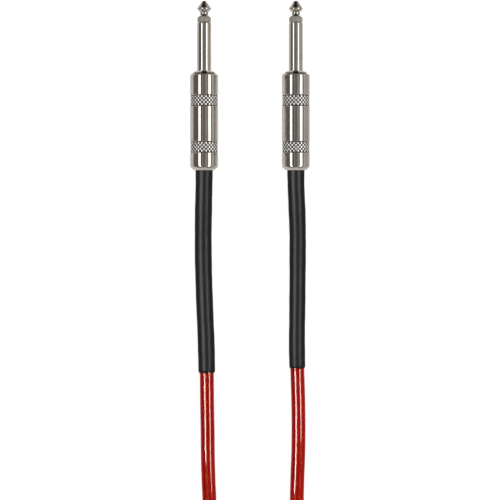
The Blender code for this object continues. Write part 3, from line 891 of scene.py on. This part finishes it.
def tube(name, points, radii, sides, material, bores=None):
    """A round tube along a line, solid or with a bore."""
    a, b = frames_along(points)
    turn = np.linspace(0.0, 2 * math.pi, sides, endpoint=False)[:, None]

    def row(i, radius):
        return points[i] + radius * (np.cos(turn) * a[i] + np.sin(turn) * b[i])

    rows = [row(i, radii[i]) for i in range(len(points))]
    heights = list(travelled(points))
    if bores is not None:
        rows += [row(i, bores[i]) for i in range(len(points))[::-1]]
        heights += heights[::-1]
    bm = bmesh.new()
    skin(bm, rows, heights, ring=bores is not None)
    return add_piece(name, bm, material, "cable")


FACET = 0.0001
LEAST_RADIUS = 0.00002


def arc(centre, radius, start_deg, end_deg, steps):
    """Points (station, radius) on an arc. 90 degrees points away from the axis."""
    turns = np.radians(np.linspace(start_deg, end_deg, steps + 1))
    return [(centre[0] + radius * math.cos(a), centre[1] + radius * math.sin(a)) for a in turns]


def held(profile):
    """The same profile, with a short facet at each end of its long straight stretches, so that
    smooth shading leaves them straight."""
    points = [profile[0]]
    for a, b in zip(profile, profile[1:]):
        if not callable(a[1]) and not callable(b[1]):
            length = math.dist(a, b)
            if length > 6 * FACET:
                for t in (FACET / length, 1 - FACET / length):
                    points.append(tuple(np.add(a, np.subtract(b, a) * t)))
        points.append(b)
    return points


def lathe(name, x, profile, steps, material, body, ring=True):
    """A turned piece about a plug's axis, from points (station, radius). A radius may be a
    function of the angle round the axis. A ring's profile comes back along its bore."""
    profile = held(profile)
    turn = np.linspace(0.0, 2 * math.pi, steps, endpoint=False)
    rows = []
    for station, radius in profile:
        reach = radius(turn) if callable(radius) else np.full(steps, max(radius, LEAST_RADIUS))
        y = np.full(steps, TIP_Y - station)
        z = BARREL_RADIUS + reach * np.sin(turn)
        rows.append(np.stack([x + reach * np.cos(turn), y, z], 1))
    heights = travelled([(s, np.mean(r(turn)) if callable(r) else r) for s, r in profile])
    bm = bmesh.new()
    skin(bm, rows, heights, ring)
    return add_piece(name, bm, material, body)


# ---------------------------------------------------------------- plugs
def triangle(x):
    """Rises from 0 to 1 and falls back over each whole number."""
    return 1 - 2 * np.abs(x % 1.0 - 0.5)


def knurl_band(start):
    """A diamond-knurled band: small flat-topped pyramids between two sets of crossed grooves."""

    def row(station, lift):
        def radius(turn):
            across = turn * KNURL_TEETH / (2 * math.pi)
            along = (station - start) / KNURL_PITCH
            peak = np.minimum(triangle(across + along), triangle(across - along))
            peak = np.minimum(peak / (1 - KNURL_FLAT), 1.0)
            return KNURL_TOP - KNURL_HEIGHT * (1 - peak * lift)

        return (station, radius)

    end = start + KNURL_LENGTH
    stations = np.arange(start + KNURL_START, end - EDGE, KNURL_PITCH / ROWS_PER_PITCH)
    lifts = smoothstep(np.minimum(stations - start, end - stations) / KNURL_RISE)
    band = [(start + inward, radius) for inward, radius in KNURL_STEP]
    band += [row(station, lift) for station, lift in zip(stations, lifts)]
    band += [(end - inward, radius) for inward, radius in reversed(KNURL_STEP)]
    return band


def thread(low, high, plain, first, last):
    """Rows of a right-hand thread between two stations, fading to a plain radius at each."""

    def row(station):
        fade = smoothstep(min(station - first, last - station) / THREAD_PITCH)

        def radius(turn):
            ridge = triangle((station - THREAD_STATION) / THREAD_PITCH - turn / (2 * math.pi))
            share = np.clip(0.5 + THREAD_STEEPNESS * (ridge - 0.5), 0.0, 1.0)
            cut = low + (high - low) * share
            return plain + fade * (cut - plain)

        return (station, radius)

    return [row(s) for s in np.arange(first, last, THREAD_PITCH / ROWS_PER_PITCH)]


def rear_outline():
    """The barrel's rear: a tight round that runs into a flatter crown, down to the cable hole."""
    turned_deg = 90 - BARREL_REAR_ROUND_DEG
    turned_by = math.radians(turned_deg)
    reach = BARREL_REAR_CROWN - BARREL_REAR_ROUND
    crown_radius = BARREL_RADIUS - BARREL_REAR_ROUND - reach * math.sin(turned_by)
    rise = BARREL_REAR_HOLE + BARREL_REAR_EDGE - crown_radius
    last = math.asin(rise / BARREL_REAR_CROWN)
    crown_station = PLUG_LENGTH - BARREL_REAR_CROWN * math.cos(last)
    round_centre = (crown_station + reach * math.cos(turned_by), BARREL_RADIUS - BARREL_REAR_ROUND)
    crown_centre = (crown_station, crown_radius)
    outline = arc(round_centre, BARREL_REAR_ROUND, 90, turned_deg, 10)
    outline += arc(crown_centre, BARREL_REAR_CROWN, turned_deg, math.degrees(last), 12)[1:]
    return outline


def barrel(side, x):
    """Rounded mouth, two knurled bands, rounded rear, and a bore with a thread at its front."""
    front = BARREL_RADIUS - BARREL_MOUTH_RADIUS
    profile = [
        (BARREL_STATION + EDGE, BARREL_THREAD_BORE - HAIR_EDGE),
        (BARREL_STATION, BARREL_THREAD_BORE + FINE_EDGE),
    ]
    profile += arc((BARREL_STATION + front, BARREL_MOUTH_RADIUS), front, 180, 90, 10)
    for station in KNURL_STATIONS:
        profile += knurl_band(station)
    profile += rear_outline()
    edge = BARREL_REAR_EDGE
    profile += arc((PLUG_LENGTH - edge, BARREL_REAR_HOLE + edge), edge, 0, -90, 6)
    profile += [
        (PLUG_LENGTH - BARREL_REAR_WALL, BARREL_REAR_HOLE),
        (PLUG_LENGTH - BARREL_REAR_WALL, BARREL_BORE),
        (BARREL_THREAD_END, BARREL_BORE),
        (BARREL_THREAD_END, BARREL_THREAD_BORE),
    ]
    root, crest = THREAD_ROOT + THREAD_CLEARANCE, THREAD_CREST + THREAD_CLEARANCE
    thread_end = BARREL_THREAD_END - BARREL_THREAD_RUNOUT
    profile += thread(root, crest, crest, THREAD_STATION, thread_end)[::-1]
    body = f"{side}_barrel"
    name = f"{side}_knurled_barrel"
    piece = lathe(name, x, profile, BARREL_SIDES, NICKEL, body)
    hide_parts(f"{side}_barrel")


def plug_body(side, x):
    """Finger, shoulder, threaded boss and tail, with the bore that the rod runs through."""
    start = RING_END_STATION + GAP
    shoulder_end = FINGER_LENGTH + SHOULDER_LENGTH
    thread_end = THREAD_STATION + THREAD_TURNS * THREAD_PITCH
    profile = [(start, BODY_BORE)]
    profile += arc((start + EDGE, FINGER_RADIUS - EDGE), EDGE, 180, 90, 4)
    profile += [(FINGER_LENGTH - EDGE, FINGER_RADIUS)]
    profile += arc((FINGER_LENGTH - EDGE, FINGER_RADIUS + EDGE), EDGE, 270, 360, 4)
    profile += [
        (FINGER_LENGTH, SHOULDER_SEAT_RADIUS - FINE_EDGE),
        (FINGER_LENGTH + HAIR_EDGE, SHOULDER_SEAT_RADIUS),
        (shoulder_end - SHOULDER_RIM - HAIR_EDGE, SHOULDER_RADIUS - SHOULDER_RIM_STEP),
        (shoulder_end - SHOULDER_RIM, SHOULDER_RADIUS),
        (shoulder_end, SHOULDER_RADIUS - HAIR_EDGE),
        (shoulder_end, THREAD_ROOT),
    ]
    profile += thread(THREAD_ROOT, THREAD_CREST, THREAD_ROOT, shoulder_end + EDGE, thread_end)
    profile += [
        (thread_end, BODY_TAIL_RADIUS),
        (BODY_END_STATION - EDGE, BODY_TAIL_RADIUS),
        (BODY_END_STATION, BODY_TAIL_RADIUS - EDGE),
        (BODY_END_STATION, BODY_BORE),
    ]
    name = f"{side}_finger_and_body"
    piece = lathe(name, x, profile, BODY_SIDES, FINGER_NICKEL, "cable")
    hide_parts(f"{side}_plug_body")


def tip_contact(side, x):
    """Nose, waist and neck as one soft outline, and the rod behind them."""
    peak = (TIP_PEAK_STATION, FINGER_RADIUS - TIP_EDGE_ROUND)
    waist = (NECK_STATION, NECK_RADIUS + NECK_ROUND)
    neck_end = RING_STATION - GAP
    profile = [(0.0, 0.0)]
    nose = (NOSE_ROUND, NOSE_RADIUS - NOSE_ROUND)
    profile += arc(nose, NOSE_ROUND, 180, 90 + TIP_FRONT_DEG, 4)
    profile += arc(peak, TIP_EDGE_ROUND, 90 + TIP_FRONT_DEG, 90 - TIP_BACK_DEG, 16)
    profile += arc(waist, NECK_ROUND, 270 - TIP_BACK_DEG, 270, 8)
    profile += arc((neck_end - NECK_ROUND, NECK_RADIUS - NECK_ROUND), NECK_ROUND, 90, 0, 6)
    profile += [
        (neck_end, ROD_RADIUS),
        (ROD_HEAD_STATION, ROD_RADIUS),
        (ROD_HEAD_STATION, ROD_HEAD_RADIUS),
        (ROD_HEAD_STATION + ROD_HEAD_RIM, ROD_HEAD_RADIUS - FINE_EDGE),
        (ROD_END_STATION, ROD_RADIUS),
        (ROD_END_STATION, 0.0),
    ]
    name = f"{side}_tip_contact"
    material = FINGER_NICKEL
    piece = lathe(name, x, profile, TIP_SIDES, material, "cable", ring=False)
    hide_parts(f"{side}_tip")


def tip_ring(side, x):
    """Narrow at the neck, flaring to a plain cylinder at the finger."""
    flare = (RING_FLARE_STATION, RING_RADIUS - RING_FLARE_ROUND)
    profile = [(RING_STATION, RING_BORE)]
    front = (RING_STATION + FINE_EDGE, NECK_RADIUS - FINE_EDGE)
    rear = (RING_END_STATION - FINE_EDGE, RING_RADIUS - FINE_EDGE)
    profile += arc(front, FINE_EDGE, 180, 110, 3)
    profile += arc(flare, RING_FLARE_ROUND, 90 + RING_FLARE_DEG, 90, 5)
    profile += arc(rear, FINE_EDGE, 90, 0, 3)
    profile += [(RING_END_STATION, RING_BORE)]
    name = f"{side}_insulating_ring"
    piece = lathe(name, x, profile, TIP_SIDES, INSULATOR, "cable")
    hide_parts(f"{side}_tip_ring")


def shrink_sleeve(side):
    """The sleeve hugs the jacket unevenly, and its cut end turns in a little."""
    line = smooth_route(ROUTES[side], SLEEVE_STEP)
    line = spaced(between(line, TIP_Y - SLEEVE_STATION, SLEEVE_END_Y[side]), SLEEVE_STEP)
    along = travelled(line)
    left = along[-1] - along
    ripple = sum(size * np.sin(along * rate + phase) for size, rate, phase in SLEEVE_RIPPLES)
    if side == "right":
        taper = RIGHT_TAPER * smoothstep(along / RIGHT_TAPER_LENGTH)
    else:
        taper = LEFT_TAPER * along / along[-1]
    into_lip = np.clip(1 - left / SLEEVE_LIP_LENGTH, 0.0, 1.0)
    lip = SLEEVE_LIP_DEPTH * (1 - np.sqrt(1 - into_lip**2))
    radii = SLEEVE_RADIUS - taper + ripple - lip
    bores = np.full(len(line), SLEEVE_RADIUS - SLEEVE_WALL)
    bores -= SLEEVE_MOUTH_PINCH * smoothstep(1 - left / SLEEVE_MOUTH_LENGTH)
    bores = np.minimum(bores, radii - HAIR_EDGE)
    name = f"{side}_heat_shrink"
    piece = tube(name, line, radii, SLEEVE_SIDES, SHRINK, bores)
    piece.visible_glossy = False
    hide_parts(f"{side}_shrink_sleeve")


# ---------------------------------------------------------------- tie and cable
def convex_hull(points):
    """Corners of the convex hull of 2D points, anticlockwise."""

    def chain(ordered):
        kept = []
        for p in ordered:
            while len(kept) > 1:
                a, b = kept[-2], kept[-1]
                if (b[0] - a[0]) * (p[1] - a[1]) - (b[1] - a[1]) * (p[0] - a[0]) > 0:
                    break
                kept.pop()
            kept.append(p)
        return kept[:-1]

    ordered = sorted(map(tuple, points))
    return np.array(chain(ordered) + chain(ordered[::-1]))


# The tape's section: (part of its half width, part of its thickness)
TIE_SECTION = (
    (-1.0, 0.2),
    (-0.985, 0.0),
    (0.0, 0.0),
    (0.985, 0.0),
    (1.0, 0.2),
    (1.0, 0.8),
    (0.985, 1.0),
    (0.5, 1.0),
    (0.0, 1.0),
    (-0.5, 1.0),
    (-0.985, 1.0),
    (-1.0, 0.8),
)
# Half the slice of the hank that shapes the tie
WAIST_SLICE = 0.0014
# How far the choice of the top corner where the tie begins leans to the right
TIE_CORNER_PULL = 0.3
# How its end climbs onto its start, and how that end is rounded off
TIE_CLIMB_LEAD = 0.003
TIE_CLIMB = 0.004
TIE_END_LENGTH = 0.004
TIE_END_WIDTH = 0.55


def hank_tie():
    """A strap pulled tight round the strands at the hank's waist, its end lapped over."""
    x, y = HANK_CENTRE
    waist = ROUTE[np.abs(ROUTE[:, 1] - y) < WAIST_SLICE]
    turn = np.linspace(0.0, 2 * math.pi, 48, endpoint=False)
    circle = (CABLE_RADIUS + TIE_SLACK) * np.stack([np.cos(turn), np.sin(turn)], 1)
    around = (waist[:, None, [0, 2]] + circle).reshape(-1, 2)
    around[:, 1] = np.maximum(around[:, 1], TIE_THICKNESS)
    loop = convex_hull(around)
    first = int(np.argmax(loop[:, 1] + TIE_CORNER_PULL * loop[:, 0]))
    loop = np.roll(loop, -first, axis=0)
    loop = spaced(np.pad(np.vstack([loop, loop[:1]]), ((0, 0), (0, 1))), TIE_STEP)[:, :2]
    length = travelled(loop)[-1]
    path = np.vstack([loop, loop[1 : round(TIE_OVERLAP / TIE_STEP)]])
    along = travelled(path)
    tangent = np.gradient(path, axis=0)
    tangent /= np.linalg.norm(tangent, axis=1)[:, None]
    normal = np.stack([tangent[:, 1], -tangent[:, 0]], 1)
    lapped = smoothstep((along - length + TIE_CLIMB_LEAD) / TIE_CLIMB)
    lifted = (TIE_THICKNESS + FINE_EDGE) * lapped
    end_round = np.clip((along[-1] - along) / TIE_END_LENGTH, 0.0, 1.0)
    widening = np.sqrt(1 - (1 - end_round) ** 2)
    half_widths = TIE_WIDTH / 2 * (TIE_END_WIDTH + (1 - TIE_END_WIDTH) * widening)
    rows = []
    for p, n, lift, half in zip(path, normal, lifted, half_widths):
        section = []
        for across, height in TIE_SECTION:
            reach = lift + height * TIE_THICKNESS
            section.append((p[0] + n[0] * reach, y + across * half, p[1] + n[1] * reach))
        rows.append(section)
    bm = bmesh.new()
    skin(bm, rows, list(along))
    piece = add_piece("hook_and_loop_tie", bm, HOOK_TAPE, "cable")
    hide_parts("hank_tie")
    return piece


def red_cable(tie):
    """The whole cable in one piece, from inside one plug, through the hank, to the other."""
    radii = np.full(len(ROUTE), CABLE_RADIUS)
    cable = tube("red_cable", ROUTE, radii, CABLE_SIDES, JACKET)
    cable.visible_glossy = False
    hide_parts("left_cable", "right_cable", "cable_hank")


def dress(name, material):
    """Gives a CAD node that stays a better material."""
    node = frame["nodes"][name]
    node.data.materials.clear()
    node.data.materials.append(material)
    LIT["metal"].objects.link(node)


INSIDE = {
    "rod_sleeve": INSULATOR,
    "ground_lug": TINNED,
    "tip_lug": TINNED,
    "rear_washer": FIBRE,
    "barrel_liner": LINER,
    "core_wire": POLYTHENE,
    "shield_tail": COPPER,
}
for side_name, axis_x in (("left", LEFT_X), ("right", RIGHT_X)):
    tip_contact(side_name, axis_x)
    tip_ring(side_name, axis_x)
    plug_body(side_name, axis_x)
    barrel(side_name, axis_x)
    shrink_sleeve(side_name)
    for inside_name, inside_material in INSIDE.items():
        dress(f"{side_name}_{inside_name}", inside_material)
red_cable(hank_tie())
